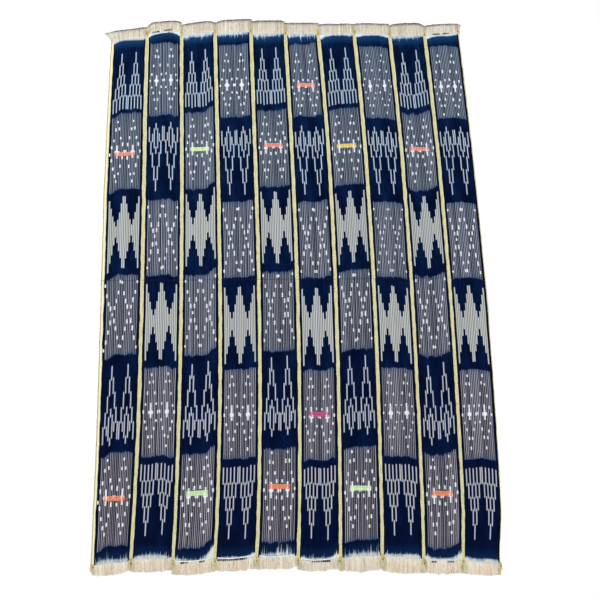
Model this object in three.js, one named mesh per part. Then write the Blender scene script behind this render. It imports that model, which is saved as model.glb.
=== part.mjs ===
// A handwoven strip cloth: ten narrow strips sewn side by side, laid flat, with a fringe at both ends.
// Millimetres, +Z up. X runs across the strips, Y along the warp, and the cloth lies on z = 0.
import * as THREE from 'three';

// Driving sizes of the cloth
const STRIP_COUNT = 10;
const STRIP_WIDTH = 110;
const CLOTH_THICKNESS = 1.5;
const PIECE_GAP = 0.3;
const HALF_WARP = 770;

// Each sheet's grid: cells across it, the distance between rows, and how near a strip's end a row may lie
const COLUMNS = 4;
const ROW_STEP = 60;
const END_CLEARANCE = 10.5;

// Fringe sizes
const STRANDS_PER_END = 13;
const BACKING_DEPTH = 3.5;
const STRAND_THICKNESS = 1.2;
const STRAND_ROOT_WIDTH = 4.2;
const STRAND_BEND_WIDTH = 3.4;
const STRAND_TIP_WIDTH = 2;
const STRAND_STRAY = 1.5;
const SHORTEST_SHARE = 0.86;
const BEND_ALONG = 0.5;
const BEND_DRIFT = 0.35;

// The strands at the top left corner lie over to the left, the outermost furthest.
const CORNER_FLARE = 21;
const FLARE_POWER = 6;

// How far each seam strays from its even place: a shift of the whole seam, a lean to one side,
// a bow that is widest at mid length, an S-shaped sway, and a pull inwards close to the foot.
// Seams 0 and 10 are the outer edges.
const SEAMS = [
  { shift: -5, lean: 2, bow: -2, sway: -8, footPull: 0 },
  { shift: -6, lean: 5.5, bow: 8.5, sway: -8.5, footPull: 0 },
  { shift: -6, lean: 3, bow: 11, sway: -4, footPull: -1 },
  { shift: -8.5, lean: 0.5, bow: 14.5, sway: -7.5, footPull: -1 },
  { shift: -7, lean: 1.5, bow: 14.5, sway: -7, footPull: -1 },
  { shift: -8.5, lean: 0, bow: 16.5, sway: -3.5, footPull: -1 },
  { shift: -11.5, lean: -4.5, bow: 19, sway: 4, footPull: -1 },
  { shift: -10, lean: -4, bow: 17.5, sway: 4, footPull: -1 },
  { shift: -10, lean: -4, bow: 15.5, sway: 3.5, footPull: -2 },
  { shift: -12, lean: -3, bow: 16.5, sway: 1, footPull: -5 },
  { shift: -18, lean: 0.5, bow: 16.5, sway: -2.5, footPull: -9 },
];

// Where the weaving of each strip stops at its left and right edge, and how long its fringe is.
const STRIPS = [
  { topLeft: 765, topRight: 777, topFringe: 41, footLeft: -758, footRight: -749, footFringe: 27 },
  { topLeft: 791, topRight: 796, topFringe: 43, footLeft: -746, footRight: -745, footFringe: 31 },
  { topLeft: 779, topRight: 790, topFringe: 46, footLeft: -756, footRight: -750, footFringe: 32 },
  { topLeft: 784, topRight: 787, topFringe: 51, footLeft: -754, footRight: -749, footFringe: 28 },
  { topLeft: 778, topRight: 777, topFringe: 53, footLeft: -748, footRight: -747, footFringe: 30 },
  { topLeft: 774, topRight: 772, topFringe: 45, footLeft: -760, footRight: -759, footFringe: 25 },
  { topLeft: 772, topRight: 770, topFringe: 40, footLeft: -755, footRight: -751, footFringe: 35 },
  { topLeft: 771, topRight: 765, topFringe: 41, footLeft: -756, footRight: -763, footFringe: 36 },
  { topLeft: 756, topRight: 758, topFringe: 50, footLeft: -768, footRight: -770, footFringe: 31 },
  { topLeft: 759, topRight: 762, topFringe: 39, footLeft: -773, footRight: -779, footFringe: 30 },
];

// Long low ripples that lift parts of the cloth off the ground: wave lengths along and across.
const RIPPLES = [
  { height: 1.7, along: 410, across: 1300, phase: 0.6 },
  { height: 1.3, along: 235, across: -760, phase: 2.1 },
  { height: 1.0, along: 900, across: 330, phase: 4.0 },
];
const RIPPLE_FLOOR = 0.5;
const RIPPLE_SOFTNESS = 1.2;
const RIPPLE_FADE = 110;
const FLAT_END = 35;

// The crease left across the middle, where the cloth was kept folded
const CREASE_Y = 20;
const CREASE_HEIGHT = 1.6;
const CREASE_REACH = 28;

// The outer seams are drawn in over this last stretch above the foot.
const PULL_START = 640;
const PULL_REACH = 130;

const CLOTH_COLOURS = ['#0d1b4b', '#12204f'];
const CLOTH_ROUGHNESS = 0.92;
const FRINGE_COLOUR = '#ddd0b4';
const FRINGE_ROUGHNESS = 0.95;

function clamp01(value) {
  return Math.min(1, Math.max(0, value));
}

function twoDigits(number) {
  return String(number).padStart(2, '0');
}

// A random number from low to high. Each fringe sets its own seed first, so it is always the same.
function between(low, high) {
  return low + (high - low) * THREE.MathUtils.seededRandom();
}

function seamX(seam, y) {
  const t = y / HALF_WARP;
  const hump = 1 - t * t;
  const { shift, lean, bow, sway, footPull } = SEAMS[seam];
  const stray = shift + lean * t + (bow + sway * t) * hump;
  const pull = footPull * THREE.MathUtils.smoothstep(-y, PULL_START, PULL_START + PULL_REACH);
  return (seam - STRIP_COUNT / 2) * STRIP_WIDTH + stray + pull;
}

// How high the underside of the cloth stands off the ground
function lift(x, y) {
  let wave = -RIPPLE_FLOOR;
  for (const { height, along, across, phase } of RIPPLES) {
    wave += height * Math.sin(2 * Math.PI * (y / along + x / across) + phase);
  }
  const ripple = wave > 0 ? (wave * wave) / (wave + RIPPLE_SOFTNESS) : 0;
  const fade = clamp01((HALF_WARP - FLAT_END - Math.abs(y)) / RIPPLE_FADE);
  const crease = CREASE_HEIGHT * clamp01(1 - Math.abs(y - CREASE_Y) / CREASE_REACH);
  return Math.max(ripple * fade, crease);
}

// The rows at which every strip has points, with three more rows at the crease
function rowHeights() {
  const rows = [CREASE_Y - CREASE_REACH, CREASE_Y, CREASE_Y + CREASE_REACH];
  for (let y = CREASE_Y + CREASE_REACH + ROW_STEP; y < HALF_WARP + ROW_STEP; y += ROW_STEP) rows.push(y);
  for (let y = CREASE_Y - CREASE_REACH - ROW_STEP; y > -HALF_WARP - ROW_STEP; y -= ROW_STEP) rows.push(y);
  return rows.sort((a, b) => a - b);
}

function meshFrom(name, points, triangles, material) {
  const geometry = new THREE.BufferGeometry();
  geometry.setAttribute('position', new THREE.Float32BufferAttribute(points, 3));
  geometry.setIndex(triangles);
  geometry.computeVertexNormals();
  const mesh = new THREE.Mesh(geometry, material);
  mesh.name = name;
  return mesh;
}

// A closed sheet from a grid of places: the upper face, the underside and the four edges.
function sheetSolid(name, rows, material) {
  const rowCount = rows.length;
  const columnCount = rows[0].length;
  const layer = rowCount * columnCount;
  const points = [];
  for (const top of [true, false]) {
    for (const row of rows) {
      for (const place of row) points.push(place.x, place.y, place.under + (top ? CLOTH_THICKNESS : 0));
    }
  }
  const triangles = [];
  const quad = (a, b, c, d) => triangles.push(a, b, c, a, c, d);
  for (let r = 0; r + 1 < rowCount; r += 1) {
    for (let c = 0; c + 1 < columnCount; c += 1) {
      const a = r * columnCount + c;
      const b = a + 1;
      const d = a + columnCount;
      quad(a, b, d + 1, d);
      triangles.push(layer + a, layer + d + 1, layer + b, layer + a, layer + d, layer + d + 1);
    }
  }
  const rim = [];
  for (let c = 0; c + 1 < columnCount; c += 1) rim.push(c);
  for (let r = 0; r + 1 < rowCount; r += 1) rim.push(r * columnCount + columnCount - 1);
  for (let c = columnCount - 1; c > 0; c -= 1) rim.push((rowCount - 1) * columnCount + c);
  for (let r = rowCount - 1; r > 0; r -= 1) rim.push(r * columnCount);
  rim.forEach((from, i) => {
    const to = rim[(i + 1) % rim.length];
    quad(from, layer + from, layer + to, to);
  });
  return meshFrom(name, points, triangles, material);
}

function stripRow(index, leftY, rightY) {
  const row = [];
  for (let c = 0; c <= COLUMNS; c += 1) {
    const across = c / COLUMNS;
    const y = leftY + (rightY - leftY) * across;
    const left = seamX(index, y) + PIECE_GAP / 2;
    const right = seamX(index + 1, y) - PIECE_GAP / 2;
    const x = left + (right - left) * across;
    row.push({ x, y, under: lift(x, y) });
  }
  return row;
}

function makeStrip(index) {
  const { topLeft, topRight, footLeft, footRight } = STRIPS[index];
  const highest = Math.min(topLeft, topRight) - END_CLEARANCE;
  const lowest = Math.max(footLeft, footRight) + END_CLEARANCE;
  const inner = rowHeights().filter((y) => y > lowest && y < highest);
  const rows = [stripRow(index, footLeft, footRight)];
  for (const y of inner) rows.push(stripRow(index, y, y));
  rows.push(stripRow(index, topLeft, topRight));
  const material = new THREE.MeshStandardMaterial({
    color: CLOTH_COLOURS[index % CLOTH_COLOURS.length],
    roughness: CLOTH_ROUGHNESS,
    metalness: 0,
  });
  return sheetSolid(`strip_${twoDigits(index + 1)}`, rows, material);
}

// A flat plate lying on the ground, made of four-cornered cells that share their corners.
function plateSolid(name, cells, thickness, material) {
  const corners = [];
  const numbers = new Map();
  const numberOf = ([x, y]) => {
    const key = `${x.toFixed(4)} ${y.toFixed(4)}`;
    if (!numbers.has(key)) numbers.set(key, corners.push([x, y]) - 1);
    return numbers.get(key);
  };
  const turned = (cell) => {
    const area = cell.reduce((sum, [x, y], i) => {
      const [nextX, nextY] = cell[(i + 1) % cell.length];
      return sum + x * nextY - nextX * y;
    }, 0);
    return area < 0 ? [...cell].reverse() : cell;
  };
  const faces = cells.map((cell) => turned(cell).map(numberOf));
  const edges = new Set(faces.flatMap((face) => face.map((n, i) => `${n} ${face[(i + 1) % 4]}`)));
  const count = corners.length;
  const triangles = [];
  for (const [a, b, c, d] of faces) {
    triangles.push(a, b, c, a, c, d);
    triangles.push(count + a, count + c, count + b, count + a, count + d, count + c);
  }
  for (const edge of edges) {
    const [from, to] = edge.split(' ').map(Number);
    if (edges.has(`${to} ${from}`)) continue;
    triangles.push(from, count + from, count + to, from, count + to, to);
  }
  const points = [thickness, 0].flatMap((z) => corners.flatMap(([x, y]) => [x, y, z]));
  return meshFrom(name, points, triangles, material);
}

// A fringe lies flat: a narrow backing along the strip's end, and strands that stand out of it.
// outward is +1 at the top end and -1 at the foot.
function makeFringe(index, outward) {
  const strip = STRIPS[index];
  const atTop = outward > 0;
  const leftY = (atTop ? strip.topLeft : strip.footLeft) + outward * PIECE_GAP;
  const rightY = (atTop ? strip.topRight : strip.footRight) + outward * PIECE_GAP;
  const reach = atTop ? strip.topFringe : strip.footFringe;
  const leftX = seamX(index, leftY) + PIECE_GAP / 2;
  const rightX = seamX(index + 1, rightY) - PIECE_GAP / 2;
  const slope = (rightY - leftY) / (rightX - leftX);
  const pitch = (rightX - leftX) / STRANDS_PER_END;
  const inner = (x) => [x, leftY + slope * (x - leftX)];
  const outer = (x) => [x, leftY + slope * (x - leftX) + outward * BACKING_DEPTH];

  THREE.MathUtils.seededRandom(2 * index + (atTop ? 1 : 2));
  const cells = [];
  let doneX = leftX;
  for (let s = 0; s < STRANDS_PER_END; s += 1) {
    const rootX = leftX + pitch * (s + 0.5);
    const rootLeft = rootX - STRAND_ROOT_WIDTH / 2;
    const rootRight = rootX + STRAND_ROOT_WIDTH / 2;
    cells.push([inner(doneX), inner(rootLeft), outer(rootLeft), outer(doneX)]);
    cells.push([inner(rootLeft), inner(rootRight), outer(rootRight), outer(rootLeft)]);
    doneX = rootRight;

    const length = (reach - BACKING_DEPTH) * between(SHORTEST_SHARE, 1);
    const flare = index === 0 && atTop ? CORNER_FLARE * (1 - s / STRANDS_PER_END) ** FLARE_POWER : 0;
    const tipX = rootX - flare + between(-STRAND_STRAY, STRAND_STRAY);
    const bendX = rootX + (tipX - rootX) * BEND_DRIFT + between(-STRAND_STRAY, STRAND_STRAY) / 2;
    const rootY = outer(rootX)[1];
    const across = (x, width, along) => [
      [x - width / 2, rootY + outward * length * along],
      [x + width / 2, rootY + outward * length * along],
    ];
    const [bendLeft, bendRight] = across(bendX, STRAND_BEND_WIDTH, BEND_ALONG);
    const [tipLeft, tipRight] = across(tipX, STRAND_TIP_WIDTH, 1);
    cells.push([outer(rootLeft), outer(rootRight), bendRight, bendLeft]);
    cells.push([bendLeft, bendRight, tipRight, tipLeft]);
  }
  cells.push([inner(doneX), inner(rightX), outer(rightX), outer(doneX)]);

  const material = new THREE.MeshStandardMaterial({
    color: FRINGE_COLOUR,
    roughness: FRINGE_ROUGHNESS,
    metalness: 0,
  });
  const name = `fringe_${atTop ? 'top' : 'foot'}_${twoDigits(index + 1)}`;
  return plateSolid(name, cells, STRAND_THICKNESS, material);
}

const cloth = new THREE.Group();
for (let index = 0; index < STRIP_COUNT; index += 1) {
  cloth.add(makeStrip(index), makeFringe(index, 1), makeFringe(index, -1));
}

// The middle of the whole cloth's outline stands over the origin.
const middle = new THREE.Box3().setFromObject(cloth).getCenter(new THREE.Vector3());
for (const mesh of cloth.children) mesh.position.set(-middle.x, -middle.y, 0);

export default cloth;
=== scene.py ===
# %% [markdown]
# # A handwoven strip cloth, laid flat
#
# Ten narrow strips come off a narrow loom, each about 110 mm wide, and are whip-stitched edge to edge.
# Their warp was tied and dyed before weaving, so the figures are in the threads and not on them.
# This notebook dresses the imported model: it keeps every size of it and makes the surfaces, the inlaid
# wefts, the sewing and the fringe.

from collections import namedtuple
from functools import reduce

import bpy
import numpy as np
from mathutils import Matrix, Vector


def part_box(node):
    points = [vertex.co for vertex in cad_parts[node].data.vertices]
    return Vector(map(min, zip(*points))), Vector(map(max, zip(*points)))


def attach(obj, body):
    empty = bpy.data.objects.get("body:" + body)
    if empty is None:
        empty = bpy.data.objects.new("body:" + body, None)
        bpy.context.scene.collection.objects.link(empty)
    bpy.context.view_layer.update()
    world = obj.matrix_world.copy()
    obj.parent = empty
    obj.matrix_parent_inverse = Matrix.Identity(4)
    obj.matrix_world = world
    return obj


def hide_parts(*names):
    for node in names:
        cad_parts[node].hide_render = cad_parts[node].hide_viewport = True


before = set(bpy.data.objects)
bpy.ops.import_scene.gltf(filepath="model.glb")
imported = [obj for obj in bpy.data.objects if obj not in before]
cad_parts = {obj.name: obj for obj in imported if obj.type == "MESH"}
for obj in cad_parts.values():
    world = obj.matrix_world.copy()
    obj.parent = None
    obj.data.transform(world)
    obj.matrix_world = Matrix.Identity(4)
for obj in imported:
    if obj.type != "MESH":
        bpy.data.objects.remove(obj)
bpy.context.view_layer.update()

# %% [markdown]
# ## The shape of the cloth
#
# A weaver thinks in millimetres, and so does this notebook: shapes are worked out in millimetres, as
# they lay on the loom, and one helper turns them into Blender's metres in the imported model's place.
# Ten even rectangles would look like print. Hand-sewn strips bow and sway, so each seam has its own line,
# and each strip ends a little higher or lower than its neighbour.

# %% Sizes and seam lines
STRIP_COUNT = 10
STRIP_WIDTH = 110
CLOTH_THICKNESS = 1.5
PIECE_GAP = 0.3
HALF_WARP = 770
PULL_START, PULL_REACH = 640, 130

Seam = namedtuple("Seam", "shift lean bow sway foot_pull")
SEAMS = [
    Seam(-5, 2, -2, -8, 0),
    Seam(-6, 5.5, 8.5, -8.5, 0),
    Seam(-6, 3, 11, -4, -1),
    Seam(-8.5, 0.5, 14.5, -7.5, -1),
    Seam(-7, 1.5, 14.5, -7, -1),
    Seam(-8.5, 0, 16.5, -3.5, -1),
    Seam(-11.5, -4.5, 19, 4, -1),
    Seam(-10, -4, 17.5, 4, -1),
    Seam(-10, -4, 15.5, 3.5, -2),
    Seam(-12, -3, 16.5, 1, -5),
    Seam(-18, 0.5, 16.5, -2.5, -9),
]

End = namedtuple("End", "left right fringe")
TOP_ENDS = [
    End(765, 777, 41), End(791, 796, 43), End(779, 790, 46), End(784, 787, 51), End(778, 777, 53),
    End(774, 772, 45), End(772, 770, 40), End(771, 765, 41), End(756, 758, 50), End(759, 762, 39),
]
FOOT_ENDS = [
    End(-758, -749, 27), End(-746, -745, 31), End(-756, -750, 32), End(-754, -749, 28), End(-748, -747, 30),
    End(-760, -759, 25), End(-755, -751, 35), End(-756, -763, 36), End(-768, -770, 31), End(-773, -779, 30),
]


def smooth_step(value):
    held = np.clip(value, 0, 1)
    return held * held * (3 - 2 * held)


def seam_x(seam, y):
    """Where a seam runs at height y along the cloth. Seams 0 and 10 are the outer edges."""
    line = SEAMS[seam]
    t = np.asarray(y, float) / HALF_WARP
    stray = line.shift + line.lean * t + (line.bow + line.sway * t) * (1 - t * t)
    pull = line.foot_pull * smooth_step((-np.asarray(y, float) - PULL_START) / PULL_REACH)
    return (seam - STRIP_COUNT / 2) * STRIP_WIDTH + stray + pull


# %% Ripples and the fold crease
Ripple = namedtuple("Ripple", "height along across phase")
RIPPLES = [Ripple(1.7, 410, 1300, 0.6), Ripple(1.3, 235, -760, 2.1), Ripple(1.0, 900, 330, 4.0)]
RIPPLE_FLOOR, RIPPLE_SOFTNESS, RIPPLE_FADE, END_MARGIN = 0.5, 1.2, 110, 35
CREASE_Y, CREASE_LEAN, CREASE_HEIGHT, CREASE_REACH = -5, 0.02, 1.6, 28


def lift(x, y):
    """How high the underside of the cloth stands off the ground."""
    wave = -RIPPLE_FLOOR
    for ripple in RIPPLES:
        turn = 2 * np.pi * (y / ripple.along + x / ripple.across) + ripple.phase
        wave = wave + ripple.height * np.sin(turn)
    swell = np.where(wave > 0, wave * wave / (np.abs(wave) + RIPPLE_SOFTNESS), 0)
    fade = np.clip((HALF_WARP - END_MARGIN - np.abs(y)) / RIPPLE_FADE, 0, 1)
    from_crease = y + CREASE_LEAN * x - CREASE_Y
    crease = CREASE_HEIGHT * np.clip(1 - np.abs(from_crease) / CREASE_REACH, 0, 1)
    return np.maximum(swell * fade, crease)


# %% From the loom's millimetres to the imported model's metres
MM = 0.001
EDGE_SAMPLES = 2000

# The right edge of strip 10 and the top corner of strip 5 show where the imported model's middle lies
along_all = np.linspace(TOP_ENDS[-1].right, FOOT_ENDS[-1].right, EDGE_SAMPLES)
right_edge = seam_x(STRIP_COUNT, along_all).max() - PIECE_GAP / 2
middle_x = right_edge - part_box("strip_10")[1].x / MM
middle_y = TOP_ENDS[4].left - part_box("strip_05")[1].y / MM
MIDDLE = np.array([middle_x, middle_y, 0])
print("middle of the cloth on the loom, mm:", MIDDLE.round(2))


def in_metres(points):
    return (np.asarray(points, float) - MIDDLE) * MM


# %% [markdown]
# ## Wiring shaders like formulas
#
# The figures are drawn by arithmetic: which bundle of warp is this, and how far along it are we?
# Blender has a Math node for each operation, and long chains of them are hard to read. A small class
# lets a node's output be added and multiplied like a number, so that a material reads as a formula.
# Effects that several materials share become node groups with named sockets.

# %% A number that changes over the surface
class Number:
    """An output of a shader node, used in formulas like a plain number."""

    def __init__(self, wiring, socket):
        self.wiring = wiring
        self.socket = socket

    def then(self, operation, *others, clamp=False):
        return self.wiring.math(operation, self, *others, clamp=clamp)

    def __add__(self, other):
        return self.then("ADD", other)

    def __sub__(self, other):
        return self.then("SUBTRACT", other)

    def __mul__(self, other):
        return self.then("MULTIPLY", other)

    def __truediv__(self, other):
        return self.then("DIVIDE", other)

    def __rsub__(self, other):
        return self.wiring.math("SUBTRACT", other, self)

    __radd__ = __add__
    __rmul__ = __mul__

    def size(self):
        return self.then("ABSOLUTE")

    def floor(self):
        return self.then("FLOOR")

    def part(self):
        return self.then("FRACT")

    def least(self, other):
        return self.then("MINIMUM", other)

    def most(self, other):
        return self.then("MAXIMUM", other)

    def limited(self):
        """Held between 0 and 1."""
        return self.most(0.0).least(1.0)

    def over(self, limit, fade):
        """0 below the limit and 1 above it, with a soft step that is fade wide."""
        return self.then("MULTIPLY_ADD", 1 / fade, (limit * (-1 / fade)) + 0.5, clamp=True)

    def between(self, start, stop, fade):
        """1 from start to stop, with soft ends."""
        middle = (start + stop) * 0.5
        half = (stop - start) * 0.5
        return (self - middle).size().then("MULTIPLY_ADD", -1 / fade, half * (1 / fade) + 0.5, clamp=True)


# %% Placing nodes and joining them
# Blender numbers the sockets of a Mix node for all kinds of data, and these are the ones for colours
MIX_AMOUNT, MIX_LOW, MIX_HIGH, MIX_RESULT = 0, 6, 7, 2


class Wiring:
    """Adds nodes to one tree. Any input can be given as a Number or as a plain value."""

    def __init__(self, tree):
        self.tree = tree
        self.placed = 0

    def add(self, kind, values=(), **settings):
        node = self.tree.nodes.new("ShaderNode" + kind)
        node.location = (190 * (self.placed % 16), -170 * (self.placed // 16))
        self.placed += 1
        for name, value in settings.items():
            setattr(node, name, value)
        for socket, value in dict(values).items():
            self.join(value, node.inputs[socket])
        return node

    def join(self, value, socket):
        if isinstance(value, Number):
            self.tree.links.new(value.socket, socket)
        else:
            socket.default_value = value

    def number(self, node, output=0):
        return Number(self, node.outputs[output])

    def math(self, operation, *values, clamp=False):
        return self.number(self.add("Math", enumerate(values), operation=operation, use_clamp=clamp))

    def chance(self, first, second):
        """A number from 0 to 1 that is different for each pair of whole numbers."""
        pair = self.number(self.add("CombineXYZ", {"X": first, "Y": second}))
        return self.number(self.add("TexWhiteNoise", {"Vector": pair}, noise_dimensions="2D"))

    def clouds(self, x, y, detail=2.0):
        """Soft noise around 0.5."""
        pair = self.number(self.add("CombineXYZ", {"X": x, "Y": y}))
        inputs = {"Vector": pair, "Scale": 1.0, "Detail": detail}
        return self.number(self.add("TexNoise", inputs, noise_dimensions="2D"))

    def mix(self, amount, low, high):
        """A colour between two others."""
        inputs = {MIX_AMOUNT: amount, MIX_LOW: low, MIX_HIGH: high}
        node = self.add("Mix", inputs, data_type="RGBA")
        return self.number(node, MIX_RESULT)

    def remembered(self, name):
        """The three numbers that each point of the mesh remembers under a name."""
        vector = self.number(self.add("Attribute", attribute_name=name), "Vector")
        parts = self.add("SeparateXYZ", {"Vector": vector})
        return [self.number(parts, axis) for axis in "XYZ"]

    def group(self, group, **values):
        """Places a node group. Its named outputs come back as a dictionary of Numbers."""
        node = self.add("Group", node_tree=group)
        for name, value in values.items():
            self.join(value, node.inputs[name.replace("_", " ").capitalize()])
        return {socket.name: Number(self, socket) for socket in node.outputs}


def new_group(name, takes, gives):
    """A node group with number inputs (name: usual value) and outputs (name: kind)."""
    group = bpy.data.node_groups.new(name, "ShaderNodeTree")
    for label, usual in takes.items():
        kind = "NodeSocketColor" if isinstance(usual, tuple) else "NodeSocketFloat"
        group.interface.new_socket(name=label, in_out="INPUT", socket_type=kind).default_value = usual
    for label, kind in gives.items():
        group.interface.new_socket(name=label, in_out="OUTPUT", socket_type="NodeSocket" + kind)
    wiring = Wiring(group)
    inside = group.nodes.new("NodeGroupInput")
    outside = group.nodes.new("NodeGroupOutput")
    taken = {socket.name: Number(wiring, socket) for socket in inside.outputs if socket.name}

    def give(**results):
        for label, value in results.items():
            wiring.join(value, outside.inputs[label.replace("_", " ").capitalize()])
        print("node group:", name, "with", len(group.nodes), "nodes")
        return group

    return wiring, taken, give


# %% Colours
def colour(red, green, blue):
    """A colour as seen on a screen, from 0 to 255, in the straight-line values that shaders use."""
    seen = np.array([red, green, blue]) / 255
    straight = np.where(seen <= 0.04045, seen / 12.92, ((seen + 0.055) / 1.055) ** 2.4)
    return (*(float(value) for value in straight), 1.0)


# %% [markdown]
# ## The warp, bundle by bundle
#
# Before dyeing, the warp is gathered in bundles of a few threads and tied tight where it should stay pale.
# So every figure is made of columns one bundle wide. Each half of the strip has nine bundles, and the
# figures mirror about the fifth. Threads slip a little when the loom is dressed, which gives the jagged
# ends. The group below gives each point its bundle, its column in the figure and its slipped distance.

# %% The bundle grid
BUNDLE = 4.94
THREAD = 0.62
HALF_BUNDLES = 9
AXIS_COLUMN = 4
BUNDLE_SLIP, THREAD_SLIP, FEATHER = 3.0, 1.6, 9.0
SPIKE_WIDTH = 1.9

bundles, taken, give = new_group(
    "Warp bundles",
    {"Across": 0.0, "Along": 0.0, "Lag": 0.0, "Strip": 1.0, "Start": 0.0},
    {"Column": "Float", "Offset": "Float", "Distance": "Float", "Feathered": "Float", "Spikes": "Float",
     "Bundle chance": "Float", "Thread chance": "Float", "Field": "Float"},
)
wander = (bundles.clouds(taken["Along"] / 170, taken["Strip"] * 7.3, 1.0) - 0.5) * 1.6
place = taken["Across"] + wander
bundle = (place / BUNDLE).floor()
thread = (place / THREAD).floor()
bundle_chance = bundles.chance(bundle, taken["Strip"])
thread_chance = bundles.chance(thread, taken["Strip"] + 20)
feather_chance = bundles.chance(thread, taken["Strip"] + 40)
drift = (bundle_chance - 0.5) * BUNDLE_SLIP + (thread_chance - 0.5) * THREAD_SLIP
distance = taken["Start"] - taken["Along"] + taken["Lag"] + drift
WARP_BUNDLES = give(
    column=((bundle + 0.5).size() - 0.5 - AXIS_COLUMN).size(),
    offset=(place / BUNDLE).part() - 0.5,
    distance=distance,
    feathered=distance + (feather_chance - 0.5) * FEATHER,
    spikes=bundles.clouds(place / SPIKE_WIDTH, taken["Along"] / 150 + taken["Strip"] * 5.1, 3.0) - 0.5,
    bundle_chance=bundle_chance,
    thread_chance=thread_chance,
    field=HALF_BUNDLES * BUNDLE - place.size(),
)

# %% [markdown]
# ## Charts of the tied figures
#
# A dyer's figure is counted, so it is written here as a chart: each line says from which distance to which
# a column stays pale. Column 0 is the figure's own axis, and column 4 the furthest out. There are three
# charts on this cloth: a plain steeple, an outlined steeple with a lozenge at its foot, and an hourglass.

# %% The three charts
Tied = namedtuple("Tied", "start stop column")
STEEPLE = [
    Tied(0, 37, 0), Tied(77, 111, 0), Tied(149, 192, 0),
    Tied(37, 77, 1), Tied(111, 149, 1),
    Tied(77, 111, 2), Tied(149, 192, 2),
    Tied(111, 149, 3), Tied(149, 192, 4),
]
OUTLINED_STEEPLE = [
    Tied(0, 35, 0), Tied(35, 76, 1), Tied(76, 118, 2), Tied(118, 157, 3), Tied(157, 201, 4),
    Tied(119, 138, 0), Tied(138, 198, 1), Tied(158, 180, 2), Tied(198, 215, 0),
]
HOURGLASS = [Tied(92, 122, 0), Tied(74, 142, 1), Tied(52, 168, 2), Tied(24, 190, 3), Tied(0, 220, 4)]
SHOULDER = 2.2
CHART_FADE = 1.0


def chart_group(name, chart):
    wiring, taken, give = new_group(name, {"From tip": 0.0, "Column": 0.0}, {"Line": "Float"})
    lines = []
    for tied in chart:
        stretch = taken["From tip"].between(tied.start - SHOULDER, tied.stop + SHOULDER, CHART_FADE)
        own_column = taken["Column"].then("COMPARE", tied.column, 0.5)
        lines.append(stretch * own_column)
    return give(line=reduce(Number.most, lines))


CHARTS = {
    "steeple": chart_group("Steeple chart", STEEPLE),
    "outlined": chart_group("Outlined steeple chart", OUTLINED_STEEPLE),
    "hourglass": chart_group("Hourglass chart", HOURGLASS),
}

# %% [markdown]
# ## Striped ground, dye and weave
#
# Between the dark blocks the warp alternates pale and dark yarns, so the ground is finely striped.
# The stripes could be a wave texture, but then every stripe would be alike: here each bundle has its
# own brightness. The dye group gives indigo its cloudy depth. The relief group stands for the warp-faced
# weave, whose ribs are threads lying side by side, crossed by the faint beat of the weft.

# %% The striped ground
GROUND_DARK = colour(15, 18, 30)
GROUND_MIDDLE = colour(58, 70, 88)
FOOT_MIDDLE = colour(24, 20, 30)
GROUND_PALE = colour(166, 186, 210)
FOOT_PALE = colour(190, 184, 198)
PALE_HALF, STRIPE_FADE, STRIPE_LEAN = 0.185, 0.14, 0.2
EVEN_STRENGTH, STREAKINESS, FLECKINESS = 0.53, 0.6, 0.7


def towards_foot(along):
    """0 at the top of the cloth and 1 at its foot."""
    return (along * (-0.5 / HALF_WARP) + 0.5).limited()


striped, taken, give = new_group(
    "Striped ground",
    {"Offset": 0.0, "Bundle chance": 0.5, "Thread chance": 0.5, "Across": 0.0, "Along": 0.0},
    {"Colour": "Color"},
)
to_foot = towards_foot(taken["Along"])
streak = striped.clouds(taken["Across"] * 1.3, taken["Along"] / 60)
fleck = striped.clouds(taken["Across"] * 2.2, taken["Along"] / 4.5 + taken["Across"] * 0.9)
lean = (taken["Bundle chance"] - 0.5) * STRIPE_LEAN
pale = 1 - (taken["Offset"] - lean).size().over(PALE_HALF, STRIPE_FADE)
spread = 0.42 + 0.25 * to_foot
own_strength = spread * (taken["Bundle chance"] - 0.5) + 0.08 * to_foot
patches = STREAKINESS * (streak - 0.5) + FLECKINESS * (fleck - 0.5)
strength = EVEN_STRENGTH + own_strength + patches
middle_tone = striped.mix(to_foot, GROUND_MIDDLE, FOOT_MIDDLE)
base = striped.mix(taken["Thread chance"] * 0.9 + 1.4 * (streak - 0.5), GROUND_DARK, middle_tone)
pale_tone = striped.mix(to_foot, GROUND_PALE, FOOT_PALE)
STRIPED_GROUND = give(colour=striped.mix(pale * strength, base, pale_tone))

# %% Indigo depth
INDIGO_DEEP = colour(1, 9, 37)
INDIGO_TOP = colour(7, 37, 78)
INDIGO_FOOT = colour(5, 20, 56)
INDIGO_WORN = colour(26, 72, 120)
CLOUD_DEPTH, STREAK_DEPTH, THREAD_DEPTH = 1.7, 1.0, 0.6

dye, taken, give = new_group(
    "Indigo depth",
    {"Across": 0.0, "Along": 0.0, "Thread chance": 0.5, "Worn": 0.0},
    {"Colour": "Color"},
)
cloud = dye.clouds(taken["Across"] / 38, taken["Along"] / 90)
fine = dye.clouds(taken["Across"] * 1.6, taken["Along"] / 26)
depth = (cloud - 0.5) * CLOUD_DEPTH + (fine - 0.5) * STREAK_DEPTH + taken["Thread chance"] * THREAD_DEPTH
usual = dye.mix(towards_foot(taken["Along"]), INDIGO_TOP, INDIGO_FOOT)
even = dye.mix(depth.limited(), INDIGO_DEEP, usual)
worn = (taken["Worn"] * (0.35 + 0.65 * fine)).least(1.0)
INDIGO_DEPTH = give(colour=dye.mix(worn, even, INDIGO_WORN))

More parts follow.
